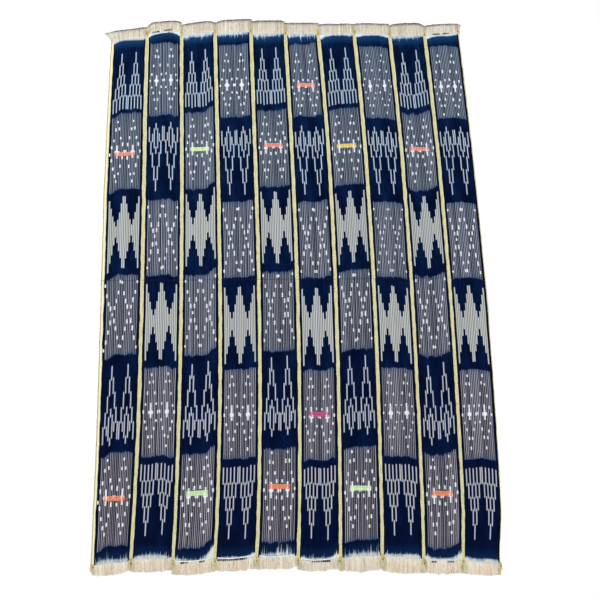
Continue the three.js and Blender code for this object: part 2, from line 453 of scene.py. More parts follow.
# %% Weave relief
WEFT_PITCH = 1.5
weave, taken, give = new_group(
    "Warp-faced weave",
    {"Across": 0.0, "Along": 0.0, "Thread": THREAD, "Weft": WEFT_PITCH},
    {"Height": "Float"},
)
thread_turn = taken["Across"] / taken["Thread"]
rib = (thread_turn.part() - 0.5).size() * 2
row_turn = taken["Along"] / taken["Weft"] + thread_turn.floor() * 0.5
beat = (row_turn.part() - 0.5).size() * 2
slub = weave.clouds(taken["Across"] * 2.4, taken["Along"] / 7)
WEAVE_RELIEF = give(height=(1 - rib * rib) * (0.55 + 0.45 * (1 - beat * beat)) + slub * 0.5)

# %% [markdown]
# ## Where the indigo stops
#
# At both ends the warp was left undyed for the heading and the fringe. The dye crept along the threads,
# so its edge is jagged, with a paler blue beyond it, and it droops at some corners. A straight mask
# would look cut. This group takes the edge's height at the left, middle and right and how ragged it is.

# %% The dyed stretch of a strip
CORNER_POWER = 3
EDGE_HALF = 47.0
BLEED_FADE, NEAR_REACH = 3.0, 14.0

dye_end, taken, give = new_group(
    "Edge of the indigo",
    {"Across": 0.0, "Beyond": 0.0, "Left": 0.0, "Right": 0.0, "Ragged": 2.0,
     "Thread chance": 0.5, "Bundle chance": 0.5, "Strip": 1.0},
    {"Dyed": "Float", "Bleed": "Float", "Near": "Float"},
)
side = taken["Across"] / EDGE_HALF
to_right = side.most(0.0).then("POWER", CORNER_POWER)
to_left = (side * -1).most(0.0).then("POWER", CORNER_POWER)
spikes = dye_end.clouds(taken["Across"] / 1.7, taken["Strip"] * 3.1 + taken["Beyond"] / 90, 3.0) - 0.5
needles = (spikes * 3.6).most(0.0).then("POWER", 2.0)
jag = (needles * 2.8 + spikes * 1.6 + (taken["Thread chance"] - 0.5) * 0.5 - 0.4) * taken["Ragged"]
past = taken["Beyond"] - taken["Left"] * to_left - taken["Right"] * to_right + jag
soft = past / (taken["Ragged"] * 0.5 + 1)
creep = (taken["Bundle chance"] * 0.8 + 0.6) * taken["Ragged"] + 1.5
DYE_EDGE = give(
    dyed=1 - soft.over(0.0, 1.0),
    bleed=1 - (past - creep).over(0.0, BLEED_FADE),
    near=1 - (past * -1).over(NEAR_REACH, 2 * NEAR_REACH),
)

# %% The coloured edges of a strip
SELVEDGE = 4.5
BLACK_LINE = 3.8
EDGE_FADE = 0.5
EDGE_WAVER, WAVER_LENGTH = 3.4, 34.0
WIDER_AT_TOP = 0.6

edges, taken, give = new_group(
    "Strip edges",
    {"Across": 0.0, "Along": 0.0, "Strip": 1.0, "Left selvedge": SELVEDGE, "Right selvedge": SELVEDGE},
    {"Yellow": "Float", "Black": "Float", "Field across": "Float"},
)
left_waver = (edges.clouds(taken["Along"] / WAVER_LENGTH, taken["Strip"] * 2.7) - 0.5) * EDGE_WAVER
right_waver = (edges.clouds(taken["Along"] / WAVER_LENGTH, taken["Strip"] * 2.7 + 40) - 0.5) * EDGE_WAVER
narrowing = taken["Along"] * (-WIDER_AT_TOP / HALF_WARP)
from_left = taken["Across"] + (STRIP_WIDTH / 2) + left_waver + narrowing
from_right = (STRIP_WIDTH / 2) - taken["Across"] + right_waver + narrowing
left_yellow = 1 - from_left.over(taken["Left selvedge"], EDGE_FADE)
right_yellow = 1 - from_right.over(taken["Right selvedge"], EDGE_FADE)
left_black = 1 - from_left.over(taken["Left selvedge"] + BLACK_LINE, EDGE_FADE)
right_black = 1 - from_right.over(taken["Right selvedge"] + BLACK_LINE, EDGE_FADE)
start = taken["Left selvedge"] + BLACK_LINE - STRIP_WIDTH / 2
stop = STRIP_WIDTH / 2 - BLACK_LINE - taken["Right selvedge"]
middle = (start + stop) * 0.5
field = (taken["Across"] - middle) * (2 * EDGE_HALF) / (stop - start)
STRIP_EDGES = give(
    yellow=left_yellow.most(right_yellow), black=left_black.most(right_black), field_across=field,
)

# %% [markdown]
# ## One material for each strip
#
# Every strip was dyed and woven on its own, so each has its own material, made by one function from the
# strip's row in a table. Odd strips start with a dark block at the top and even strips with a striped one,
# which sets the checkerboard. The figures of even strips stand on their heads. The Float Curve node
# holds how far the warp has slipped across the strip.

# %% How each strip was dyed
Blocks = namedtuple("Blocks", "first second third steeple outlined hourglass turn stretch jag")
ODD = Blocks((247, 490), (750, 977), (1243, 1481), 46, 1005, 513, 1, 0.96, 15)
EVEN = Blocks((31, 272), (540, 767), (1028, 1267), 1468, 512, 791, -1, 0.92, 8)
OUTLINED_STRETCH, HOURGLASS_STRETCH = 0.98, 0.963

Dyed = namedtuple(
    "Dyed", "start top top_left top_right top_ragged foot foot_left foot_right foot_ragged slip"
)
DYED = [
    Dyed(768, 768, -12, 1, 1.5, -741, -9, 2, 7.0, (-12, -8, 2, 4, 4, 2, 4, 4, 3)),
    Dyed(790, 792, -16, -13, 1.0, -733, -5, -9, 4.0, (-7, -7, -8, -6, -4, -5, -4, -10, -10)),
    Dyed(772, 773, -6, 7, 5.0, -748, 6, 33, 5.0, (-8, -8, -10, -7, -8, -8, -6, 6, 12)),
    Dyed(775, 776, -4, 4, 4.0, -745, -2, 10, 1.5, (-4, -4, -3, -2, -2, -4, -3, 0, 1)),
    Dyed(767, 768, -2, 6, 6.0, -735, -7, -7, 8.0, (2, 2, -2, 0, 1, 0, 1, 2, 6)),
    Dyed(761, 763, -3, 3, 6.0, -753, 5, 11, 3.0, (2, 5, 6, 4, 4, 2, 2, 8, 10)),
    Dyed(765, 765, -12, -3, 2.0, -741, -9, -1, 8.0, (-5, -2, 2, 4, 3, 4, 3, 5, 4)),
    Dyed(760, 762, -5, -10, 1.0, -749, 3, -6, 3.0, (4, 2, 0, 2, 0, 1, 0, -4, -6)),
    Dyed(747, 748, -2, 5, 5.0, -762, 10, 14, 3.0, (2, -4, -8, -3, -6, -4, -2, 2, 7)),
    Dyed(752, 753, -9, 4, 1.0, -766, 8, -6, 3.0, (-2, 0, 0, 0, 0, 1, -1, -4, -6)),
]
SLIP_REACH = 20.0
DYED_LENGTH = 1500

# How far each strip's warp was pulled at the foot against the top, and how far up its figures sit
Tying = namedtuple("Tying", "pull steeple outlined hourglass")
TYING = [
    Tying(0, -2, -4, -2), Tying(-5, 2, 3, -3), Tying(-8, 3, 4, 5), Tying(-4, 0, -3, -7), Tying(4, 8, 11, 4),
    Tying(-10, 2, -6, -7), Tying(3, 1, 8, 0), Tying(12, 1, -1, -5), Tying(1, 6, 4, 4), Tying(3, -1, 0, -2),
]

# The outer edges have no neighbour: the left one is a wide pale hem with a painted shadow line at its rim,
# and the right one is thin
LEFT_HEM, RIGHT_EDGE = 9.0, 1.8
RIM_SHADOW_LINE = (0.8, 3.0)

# %% Colours of the undyed and edge yarns
LINE_COOL = colour(192, 209, 230)
LINE_FOOT = colour(200, 197, 208)
LINE_WARM = colour(205, 206, 197)
HEADING = colour(226, 230, 230)
FOOT_HEADING = colour(226, 216, 194)
BLEED_BLUE = colour(86, 142, 182)
EDGE_BLUE = colour(44, 74, 116)
YELLOW = colour(236, 236, 202)
YELLOW_DEEP = colour(206, 200, 140)
YELLOW_WARM = colour(226, 204, 138)
CREAM = colour(226, 214, 186)
HEM_PALE = colour(240, 238, 210)
# Painted shadow along the outer rim of the first strip
RIM_SHADOW_BROWN = colour(146, 128, 84)
BLACK = colour(3, 4, 7)
BLACK_WORN = colour(18, 18, 24)
# Painted shade along the fold crease
CREASE_SHADE_COLOUR = colour(40, 26, 30)
THIN_LINE, FULL_LINE, LINE_FADE = 0.29, 0.35, 0.14
RELIEF_DEPTH = 0.25 * MM


# %% The slip curve of a strip
def slip_across(wiring, across, slip):
    """How far the dyed pattern has slipped along the strip, from nine values from left to right."""
    node = wiring.add("FloatCurve", {"Value": across / (2 * EDGE_HALF) + 0.5})
    points = node.mapping.curves[0].points
    while len(points) < len(slip):
        points.new(0.5, 0.5)
    for number, (point, value) in enumerate(zip(points, slip)):
        point.location = ((number + 0.5) / len(slip), 0.5 + value / (2 * SLIP_REACH))
        point.handle_type = "AUTO"
    node.mapping.update()
    return (wiring.number(node) - 0.5) * (2 * SLIP_REACH)


# %% Figures and striped blocks
BLOCK_FADE, CORE_INSET, CORE_FADE = 1.6, 7, 12.0


def tied_lines(wiring, blocks, tying, distance, column):
    """Where the charts leave the warp pale: in the two steeples, and in the hourglass."""
    from_tip = {
        "steeple": (distance + (tying.steeple - blocks.steeple)) * (blocks.turn / blocks.stretch),
        "outlined": (distance + (tying.outlined - blocks.outlined)) * (blocks.turn / OUTLINED_STRETCH),
        "hourglass": (distance + (tying.hourglass - blocks.hourglass)) * (1 / HOURGLASS_STRETCH),
    }
    lines = {
        name: wiring.group(CHARTS[name], from_tip=tip, column=column)["Line"]
        for name, tip in from_tip.items()
    }
    return lines["steeple"].most(lines["outlined"]), lines["hourglass"]


def figures(wiring, blocks, tying, warp, in_field):
    """The pale lines, the feathered halo round them, and where they belong to the hourglass."""
    from_axis = warp["Offset"].size()
    steeples, hourglass = tied_lines(wiring, blocks, tying, warp["Distance"], warp["Column"])
    thin, full = (1 - from_axis.over(half, LINE_FADE) for half in (THIN_LINE, FULL_LINE))
    line = (steeples * thin).most(hourglass * full) * in_field
    steeple_halo, hourglass_halo = tied_lines(wiring, blocks, tying, warp["Feathered"], warp["Column"])
    return line, steeple_halo.most(hourglass_halo) * in_field, hourglass


def striped_blocks(distance, blocks):
    """Where the ground is striped, and where it is so well away from the indigo."""
    spans = (blocks.first, blocks.second, blocks.third)
    whole = [distance.between(start, stop, BLOCK_FADE) for start, stop in spans]
    core = [distance.between(start + CORE_INSET, stop - CORE_INSET, CORE_FADE) for start, stop in spans]
    return reduce(Number.most, whole), reduce(Number.most, core)


# %% The dyed field of a strip
WORN_AT_FOOT = 0.3
HALO_STRENGTH = 0.12
PALE_FOOT_FADE = 1000.0


def dyed_field(wiring, index, across, along, inner, warp, chances, worn):
    """Indigo with pale figures, and blocks of striped ground."""
    blocks = EVEN if index % 2 else ODD
    in_field = warp["Field"].over(0.0, 0.3)
    line, halo, hourglass = figures(wiring, blocks, TYING[index], warp, in_field)
    striped_here, striped_core = striped_blocks(warp["Distance"] + warp["Spikes"] * blocks.jag, blocks)

    indigo = wiring.group(
        INDIGO_DEPTH, across=across, along=along, thread_chance=warp["Thread chance"], worn=worn,
    )["Colour"]
    tone = wiring.clouds(inner * 0.9, along / 45)
    cool = wiring.mix((along * -1).over(0.0, PALE_FOOT_FADE), LINE_COOL, LINE_FOOT)
    warmth = tone * 1.6 + warp["Bundle chance"] * 0.9 - 1.15 + hourglass * 0.9
    pale = wiring.mix(warmth.limited(), cool, LINE_WARM)
    tied = wiring.mix(halo * HALO_STRENGTH, indigo, BLEED_BLUE)
    tied = wiring.mix(line * (0.62 + 0.38 * warp["Thread chance"]), tied, pale)

    ground = wiring.group(
        STRIPED_GROUND, offset=warp["Offset"], across=inner, along=along, **chances,
    )["Colour"]
    ground = wiring.mix((1 - striped_core) * (0.2 + 0.5 * warp["Thread chance"]), ground, EDGE_BLUE)
    return wiring.mix(striped_here * in_field, tied, ground)


# %% Heading, yellow edges, hem, and painted shade at the rim and along the fold
HEM_FADE, RIM_SHADOW_FADE = 2.0, 0.8
# How wide and how dark the painted shade along the fold crease is
CREASE_SHADE_HALF, CREASE_SHADE_FADE, CREASE_SHADE_STRENGTH = 1.4, 1.6, 0.42


def undyed_heading(wiring, index, along, warp, bleed):
    """The undyed warp at both ends, with the blue that crept into it."""
    plain = wiring.mix((along * -1).over(0.0, 10.0), CREAM if index == 0 else HEADING, FOOT_HEADING)
    undyed = wiring.mix(warp["Thread chance"] * 0.4, plain, LINE_COOL)
    return wiring.mix(bleed * (0.2 + 0.6 * warp["Bundle chance"]), undyed, BLEED_BLUE)


def yellow_selvedge(wiring, index, across, along):
    yellow = wiring.mix(wiring.clouds(across * 1.7, along / 14) * 1.4 - 0.25, YELLOW, YELLOW_DEEP)
    warm = ((wiring.clouds(along / 70, float(index)) - 0.55) * 5.0).most(0.0).least(0.55)
    return wiring.mix(warm, yellow, YELLOW_WARM)


def hem_with_rim_shadow(wiring, body, across, along):
    """The pale hem of the first strip, with a painted shadow line along its outer rim."""
    from_rim = across + STRIP_WIDTH / 2
    hem = 1 - from_rim.over(LEFT_HEM - HEM_FADE, HEM_FADE)
    # A patchy brown line 0.8 to 3 mm in from the rim is painted shadow along the cloth's outer edge
    rim_shadow = from_rim.between(*RIM_SHADOW_LINE, RIM_SHADOW_FADE) * (0.35 + 0.9 * wiring.clouds(along / 11, 4.2))
    body = wiring.mix(hem * 0.7, body, HEM_PALE)
    return wiring.mix(rim_shadow.least(1.0), body, RIM_SHADOW_BROWN)


def painted_crease_shade(wiring, body, index, across, along):
    """A painted shade: the dark line along the fold crease."""
    strip_middle = (index + 0.5 - STRIP_COUNT / 2) * STRIP_WIDTH
    from_crease = along + (across + strip_middle) * CREASE_LEAN - CREASE_Y
    fold = (1 - from_crease.size().over(CREASE_SHADE_HALF, CREASE_SHADE_FADE)) * CREASE_SHADE_STRENGTH
    return wiring.mix(fold, body, CREASE_SHADE_COLOUR)


# %% The material of one strip
def strip_material(index):
    dyed, tying = DYED[index], TYING[index]
    strip = float(index + 1)
    material = bpy.data.materials.new(f"Woven strip {index + 1:02d}")
    material.use_nodes = True
    tree = material.node_tree
    wiring = Wiring(tree)
    across, along, _ = wiring.remembered("place")

    edge = wiring.group(
        STRIP_EDGES, across=across, along=along, strip=strip,
        left_selvedge=LEFT_HEM if index == 0 else SELVEDGE,
        right_selvedge=RIGHT_EDGE if index == STRIP_COUNT - 1 else SELVEDGE,
    )
    inner = edge["Field across"]
    pulled = (dyed.start - along) * (tying.pull / DYED_LENGTH) - tying.pull / 2
    warp = wiring.group(
        WARP_BUNDLES, across=inner, along=along, strip=strip, start=float(dyed.start),
        lag=slip_across(wiring, inner, dyed.slip) + pulled,
    )
    chances = {"bundle_chance": warp["Bundle chance"], "thread_chance": warp["Thread chance"]}
    top = wiring.group(
        DYE_EDGE, across=inner, beyond=along - dyed.top, ragged=dyed.top_ragged, strip=strip,
        left=float(dyed.top_left), right=float(dyed.top_right), **chances,
    )
    foot = wiring.group(
        DYE_EDGE, across=inner, beyond=dyed.foot - along, ragged=dyed.foot_ragged, strip=strip + 30,
        left=float(-dyed.foot_left), right=float(-dyed.foot_right), **chances,
    )
    bleed = top["Bleed"].least(foot["Bleed"])
    worn = top["Near"].most(foot["Near"] * WORN_AT_FOOT)

    field = dyed_field(wiring, index, across, along, inner, warp, chances, worn)
    heading = undyed_heading(wiring, index, along, warp, bleed)
    body = wiring.mix(top["Dyed"].least(foot["Dyed"]), heading, field)
    worn_black = wiring.mix(warp["Thread chance"], BLACK, BLACK_WORN)
    body = wiring.mix(edge["Black"] * bleed, body, worn_black)
    body = wiring.mix(edge["Yellow"], body, yellow_selvedge(wiring, index, across, along))
    if index == 0:
        body = hem_with_rim_shadow(wiring, body, across, along)
    # Painted shade along the fold crease, on every strip
    body = painted_crease_shade(wiring, body, index, across, along)

    shader = tree.nodes["Principled BSDF"]
    relief = wiring.group(WEAVE_RELIEF, across=across, along=along)["Height"]
    bump = wiring.add("Bump", {"Strength": 0.55, "Distance": RELIEF_DEPTH, "Height": relief})
    wiring.join(body, shader.inputs["Base Color"])
    wiring.join(wiring.number(bump, "Normal"), shader.inputs["Normal"])
    shader.inputs["Roughness"].default_value = 0.95
    shader.inputs["Specular IOR Level"].default_value = 0.03
    return material


strip_materials = [strip_material(index) for index in range(STRIP_COUNT)]
print("strip materials:", len(strip_materials))

# %% [markdown]
# ## Weaving the sheets
#
# A strip of cloth is a long thin sheet that lies on the floor. A plane with a Solidify modifier could make
# it, but its two edges must follow two seam lines, so its cross-section is built as a closed ring of
# points, repeated along the strip. Between the seams the cloth swells by less than a millimetre, and it
# cockles where the sewing draws it in.

# %% The upper face of a strip
CROWN = 0.5
COCKLE = 0.35
COCKLE_LONG, COCKLE_SHORT = 74.0, 31.0


def end_heights(index, across):
    share = np.asarray(across, float) / STRIP_WIDTH + 0.5
    top, foot = TOP_ENDS[index], FOOT_ENDS[index]
    return top.left + (top.right - top.left) * share, foot.left + (foot.right - foot.left) * share


def strip_x(index, across, y):
    left = seam_x(index, y) + PIECE_GAP / 2
    right = seam_x(index + 1, y) - PIECE_GAP / 2
    return left + (right - left) * (np.asarray(across, float) / STRIP_WIDTH + 0.5)


def top_face(index, across, y, above=0.0):
    """Points on a strip's upper face, or above it, from the distance across and the height y."""
    across, y = np.broadcast_arrays(np.asarray(across, float), np.asarray(y, float))
    x = strip_x(index, across, y)
    side = np.clip(np.abs(across) / (STRIP_WIDTH / 2), 0, 1)
    crown = CROWN * (1 - side**6)
    edge_pull = side**2 * np.sin(2 * np.pi * y / COCKLE_SHORT + index * 1.7) * 0.4
    cockle = COCKLE * (np.sin(2 * np.pi * y / COCKLE_LONG + across / 19 + index) + edge_pull)
    z = lift(x, y) + CLOTH_THICKNESS + crown + np.maximum(cockle, -0.4) + above
    return np.stack([x, y, z], -1)


# %% The cross-section of a strip
COLUMNS = 16
ROWS = 208
RING = 2 * (COLUMNS + 1)


def ring_of(index, share):
    """One closed cross-section: along the upper face to the right, and back along the underside."""
    across = np.linspace(-STRIP_WIDTH / 2, STRIP_WIDTH / 2, COLUMNS + 1)
    top, foot = end_heights(index, across)
    y = foot + (top - foot) * share
    upper = top_face(index, across, y)
    side = np.abs(across) / (STRIP_WIDTH / 2)
    lower = upper.copy()
    lower[:, 2] = np.maximum(upper[:, 2] - CLOTH_THICKNESS * (1 - 0.35 * side**8), 0.0)
    places = np.stack([across, y, np.zeros_like(y)], -1)
    return np.concatenate([upper, lower[::-1]]), np.concatenate([places, places[::-1]])


# %% Faces, and where each lies when the export paints it
HALF_ROWS = ROWS // 2
BAKE_MARGIN, CAP_MARGIN = 0.01, 0.002
BAKE_SCALE, BAKE_START = 0.99, 0.004
UPPER_STOP, LOWER_START, LOWER_STOP = 0.74, 0.76, 0.98

upper_v = np.linspace(0, UPPER_STOP, COLUMNS + 1)
lower_v = np.linspace(LOWER_START, LOWER_STOP, COLUMNS + 1)
RING_V = np.concatenate([upper_v, lower_v, [1.0]])


def painted_at(u, step, half):
    """Half 0, towards the foot, is painted in the lower half of a square, and half 1 above it."""
    return u, 0.5 * (RING_V[step] + half) * BAKE_SCALE + BAKE_START


def wall_faces():
    """The faces along a strip, all round it."""
    for row in range(ROWS):
        half = int(row >= HALF_ROWS)
        start = (row - half * HALF_ROWS) / HALF_ROWS
        u0, u1 = (BAKE_MARGIN + (1 - 2 * BAKE_MARGIN) * u for u in (start, start + 1 / HALF_ROWS))
        for step in range(RING):
            a, b = row * RING + step, row * RING + (step + 1) % RING
            spots = ((u0, step), (u0, step + 1), (u1, step + 1), (u1, step))
            yield (a, b, b + RING, a + RING), [painted_at(*spot, half) for spot in spots]


def end_faces():
    """The faces that close a strip at its foot and at its top."""
    foot, top = (BAKE_MARGIN, CAP_MARGIN), (1 - BAKE_MARGIN, 1 - CAP_MARGIN)
    for half, row, (upper_u, lower_u) in ((0, 0, foot), (1, ROWS, top)):
        first, last = row * RING, row * RING + RING - 1
        for step in range(COLUMNS):
            corners = [
                (first + step, upper_u, step), (last - step, lower_u, step),
                (last - step - 1, lower_u, step + 1), (first + step + 1, upper_u, step + 1),
            ]
            if half:
                corners.reverse()
            yield tuple(corner[0] for corner in corners), [painted_at(u, k, half) for _, u, k in corners]


WALLS, ENDS = list(wall_faces()), list(end_faces())
FACES, SPOTS = zip(*(WALLS + ENDS))
print("faces of a strip:", len(WALLS), "along it and", len(ENDS), "at its ends")


# %% Ten strips
def remember(mesh, name, values):
    """Stores three numbers for each point of a mesh, for its material to read."""
    mesh.attributes.new(name, "FLOAT_VECTOR", "POINT").data.foreach_set("vector", values.ravel())


def show(name, data):
    """Puts a mesh, a lamp or a camera in the scene as an object."""
    shown = bpy.data.objects.new(name, data)
    bpy.context.scene.collection.objects.link(shown)
    return shown


def make_strip(index):
    rings, places = zip(*(ring_of(index, row / ROWS) for row in range(ROWS + 1)))
    name = f"strip_{index + 1:02d}_cloth"
    mesh = bpy.data.meshes.new(name)
    mesh.from_pydata(in_metres(np.concatenate(rings)).tolist(), [], FACES)
    remember(mesh, "place", np.concatenate(places))
    mesh.uv_layers.new(name="OFBake").data.foreach_set("uv", np.array(SPOTS).ravel())
    mesh.polygons.foreach_set("use_smooth", [True] * len(WALLS) + [False] * len(ENDS))
    mesh.materials.append(strip_materials[index])
    return show(name, mesh)


strips = [make_strip(index) for index in range(STRIP_COUNT)]
print("strips woven:", len(strips), "faces each:", len(strips[0].data.polygons))

# %% [markdown]
# ## Yarn
#
# Inlaid wefts, sewing thread and fringe are all short lengths of yarn, thousands of them. A curve object
# for each would be slow, so one function sweeps a small section along many centre lines at once and joins
# them in one mesh. Each point remembers how far along and around its yarn it is, and the material twists
# the plies from that.

# %% Sweep many yarns at once
FLOOR_CLEARANCE = 0.05


def sweep(centres, half_widths, half_heights, turns):
    """Puts a section round each centre point, square to the yarn. turns go round the section."""
    forward = np.gradient(centres, axis=1)
    forward /= np.linalg.norm(forward, axis=2, keepdims=True) + 1e-9
    sideways = np.cross(forward, [0.0, 0.0, 1.0])
    sideways /= np.linalg.norm(sideways, axis=2, keepdims=True) + 1e-9
    upward = np.cross(sideways, forward)
    round_x, round_z = np.cos(2 * np.pi * turns), np.sin(2 * np.pi * turns)
    points = (
        centres[:, :, None]
        + sideways[:, :, None] * (half_widths[..., None] * round_x)[..., None]
        + upward[:, :, None] * (half_heights[..., None] * round_z)[..., None]
    )
    points[..., 2] = np.maximum(points[..., 2], FLOOR_CLEARANCE)
    return points


def tube_faces(count, steps, sides):
    """The walls and the two ends of many tubes of steps by sides points."""
    yarn, step, side = np.meshgrid(np.arange(count), np.arange(steps - 1), np.arange(sides), indexing="ij")
    first = (yarn * steps + step) * sides
    after = (side + 1) % sides
    walls = np.stack([first + side, first + sides + side, first + sides + after, first + after], -1)
    starts = np.arange(count)[:, None] * steps * sides + np.arange(sides)
    caps = np.concatenate([starts, starts[:, ::-1] + (steps - 1) * sides])
    return walls.reshape(-1, 4).tolist() + caps.tolist()


def yarn_mesh(name, centres, half_widths, half_heights, material, sides=4, tint=None, chance=None):
    """centres is yarns by points by 3, and the half sizes of the section are yarns by points."""
    centres = np.asarray(centres, float)
    count, steps = centres.shape[:2]
    half_widths = np.broadcast_to(half_widths, (count, steps))
    half_heights = np.broadcast_to(half_heights, (count, steps))
    turns = (np.arange(sides) + 0.5) / sides
    points = sweep(centres, half_widths, half_heights, turns)
    faces = tube_faces(count, steps, sides)

    stretches = np.linalg.norm(np.diff(centres, axis=1), axis=2)
    length = np.concatenate([np.zeros((count, 1)), np.cumsum(stretches, 1)], 1)
    if chance is None:
        chance = np.random.default_rng(len(name) + count).random(count)
    lay = np.zeros((count, steps, sides, 3))
    lay[..., 0] = length[:, :, None]
    lay[..., 1] = turns
    lay[..., 2] = chance[:, None, None]

    mesh = bpy.data.meshes.new(name)
    mesh.from_pydata(in_metres(points.reshape(-1, 3)).tolist(), [], faces)
    remember(mesh, "lay", lay)
    if tint is not None:
        remember(mesh, "tint", np.repeat(tint[:, :, None], sides, axis=2))
    mesh.polygons.foreach_set("use_smooth", [True] * len(faces))
    mesh.materials.append(material)
    return show(name, mesh)


# %% The twist of a yarn
twist, taken, give = new_group(
    "Yarn twist",
    {"Length": 0.0, "Around": 0.0, "Chance": 0.5, "Pitch": 2.5, "Plies": 2.0},
    {"Height": "Float", "Shade": "Float"},
)
turn = taken["Length"] / taken["Pitch"] + taken["Around"] * taken["Plies"] + taken["Chance"]
ply = (turn.part() - 0.5).size() * 2
fuzz = twist.clouds(taken["Length"] * 3.0, taken["Chance"] * 90 + taken["Around"] * 4)
# Shade is painted shade: the colour darkens in the grooves between the plies, with random fuzz mixed in
YARN_TWIST = give(height=(1 - ply * ply) + fuzz * 0.4, shade=(1 - ply * ply) * 0.5 + fuzz * 0.5)


# %% Yarn materials
# Brown for stains and flecks in the fringe, and for the painted shadow line along the tips of the top
# fringe
STAIN_AND_TIP_SHADOW_BROWN = colour(76, 46, 40)


def yarn_material(name, dark, light, pitch=2.5, depth=0.2 * MM, tinted=False):
    material = bpy.data.materials.new(name)
    material.use_nodes = True
    tree = material.node_tree
    wiring = Wiring(tree)
    length, around, chance = wiring.remembered("lay")
    yarn = wiring.group(YARN_TWIST, length=length, around=around, chance=chance, pitch=pitch)
    mottle = wiring.clouds(length / 4, chance * 60)
    # The tone takes the twist's painted groove shade, plus random tone from chance and mottle
    tone = yarn["Shade"] * 0.6 + (chance - 0.5) * 0.8 + (mottle - 0.5) * 1.1 + 0.3
    body = wiring.mix(tone.limited(), dark, light)
    if tinted:
        yellow, stain_and_tip_shadow, white = wiring.remembered("tint")
        body = wiring.mix(white, body, HEADING)
        body = wiring.mix(yellow, body, wiring.mix(yarn["Shade"], YELLOW_DEEP, YELLOW))
        # Brown stains, and the painted shadow line at the top tips
        body = wiring.mix(stain_and_tip_shadow, body, STAIN_AND_TIP_SHADOW_BROWN)
    shader = tree.nodes["Principled BSDF"]
    bump = wiring.add("Bump", {"Strength": 0.6, "Distance": depth, "Height": yarn["Height"]})
    wiring.join(body, shader.inputs["Base Color"])
    wiring.join(wiring.number(bump, "Normal"), shader.inputs["Normal"])
    shader.inputs["Roughness"].default_value = 0.85
    shader.inputs["Specular IOR Level"].default_value = 0.3
    shader.inputs["Sheen Weight"].default_value = 0.15
    return material


white_yarn = yarn_material("White inlay cotton", colour(216, 222, 234), colour(252, 253, 255))
seam_thread = yarn_material("Olive sewing thread", colour(128, 116, 60), colour(186, 176, 110), pitch=1.6)
selvedge_yarn = yarn_material("Selvedge yarn", YELLOW_DEEP, YELLOW)
ochre_thread = yarn_material("Ochre thread ends", colour(166, 124, 60), colour(232, 200, 130), pitch=1.8)
knot_thread = yarn_material("Olive knots", colour(76, 62, 30), colour(140, 122, 66), pitch=1.6)
fringe_yarn = yarn_material("Fringe warp", colour(210, 187, 150), colour(255, 253, 242), tinted=True)
foot_yarn = yarn_material(
    "Fringe warp at the foot", colour(234, 201, 166), colour(255, 252, 236), tinted=True,
)
dark_yarn = yarn_material("Indigo weft", colour(6, 12, 30), colour(24, 38, 66))

# %% [markdown]
# ## White inlay
#
# While the strip is on the loom, the weaver lays a thick white weft over one bundle for a few picks, and
# that makes a small raised dot. Dots are counted on the same bundle grid as the figures. A texture could
# show them, but they stand proud of the cloth and catch the light, so each pick is a short arched yarn.

# %% Charts of the dots
Dot = namedtuple("Dot", "along column tall")
CROSS_DOTS = [Dot(103, 0, 7), Dot(82, 1, 7), Dot(51, 2, 8), Dot(21, 3, 6), Dot(0, 4, 7),
              Dot(-24, 3, 6), Dot(-43, 2, 8), Dot(-64, 1, 7), Dot(-91, 0, 7)]
BAR_DOTS = [Dot(98, 0, 6), Dot(74, 1, 8), Dot(44, 2, 8), Dot(23, 3, 9), Dot(0, 4, 8),
            Dot(-19, 3, 9), Dot(-46, 2, 9), Dot(-71, 1, 8), Dot(-93, 0, 7)]
DIAMOND_DOTS = [Dot(91, 4, 7), Dot(61, 3, 9), Dot(37, 2, 11), Dot(19, 1, 10), Dot(0, 0, 8),
                Dot(-21, 1, 11), Dot(-44, 2, 11), Dot(-69, 3, 9), Dot(-94, 4, 7)]
PICK_PITCH = 1.15
LEAST_PICKS, DOT_FULLNESS = 3, 1.2
STRAY_ACROSS, STRAY_ALONG = 0.5, 1.8
PICK_HALF_WIDTH = 0.72
PICK_HEIGHT = 0.55
PICK_SUNK = 0.2
PICK_SHARES = (-0.5, -0.27, 0.27, 0.5)
DOT_WIDTH = 4.2
ARM_WIDE = 4.7
SLIP_SHARE, CROSS_SLIP = 0.75, 0.5

# The weaver of strip 8 laid smaller dots
SMALL_DOTS = {8: 0.82}

# How far up the dots of each strip sit: in its upper block, in its diamonds and in its lower block
Counted = namedtuple("Counted", "upper diamonds lower")
COUNTED = [
    Counted(7, 2, 0), Counted(-4, -4, -8), Counted(9, 0, -4), Counted(-10, -3, -6), Counted(12, 12, 10),
    Counted(-6, 4, -3), Counted(9, 9, 7), Counted(-11, -1, 2), Counted(9, 3, 5), Counted(-12, -1, 1),
]


def slip_at(index, across):
    """How far one place of a strip has slipped more than the rest, for what is inlaid in it."""
    slip = np.array(DYED[index].slip)
    centres = ((np.arange(len(slip)) + 0.5) / len(slip) - 0.5) * 2 * EDGE_HALF
    return SLIP_SHARE * np.interp(across, centres, slip - slip.mean())


# The body of a cross widens in two steps towards its middle
Step = namedtuple("Step", "half_tall wide")
CROSS_BODY = [Step(5.0, 10.0), Step(3.5, 15.0)]

# %% From charts to picks
Pick = namedtuple("Pick", "across y width")


def dot_picks(across, y, tall, size, chance):
    full = DOT_FULLNESS * size * tall * chance.uniform(0.85, 1.15)
    count = max(LEAST_PICKS, round(full / PICK_PITCH))
    wide = DOT_WIDTH * size * chance.uniform(0.85, 1.1)
    across = across + chance.uniform(-STRAY_ACROSS, STRAY_ACROSS)
    y = y + chance.uniform(-STRAY_ALONG, STRAY_ALONG)
    for number in range(count):
        place = number - (count - 1) / 2
        narrow = 1 - 0.18 * (abs(place) / count * 2) ** 3
        yield Pick(across + chance.uniform(-0.1, 0.1), y + place * PICK_PITCH, wide * narrow)


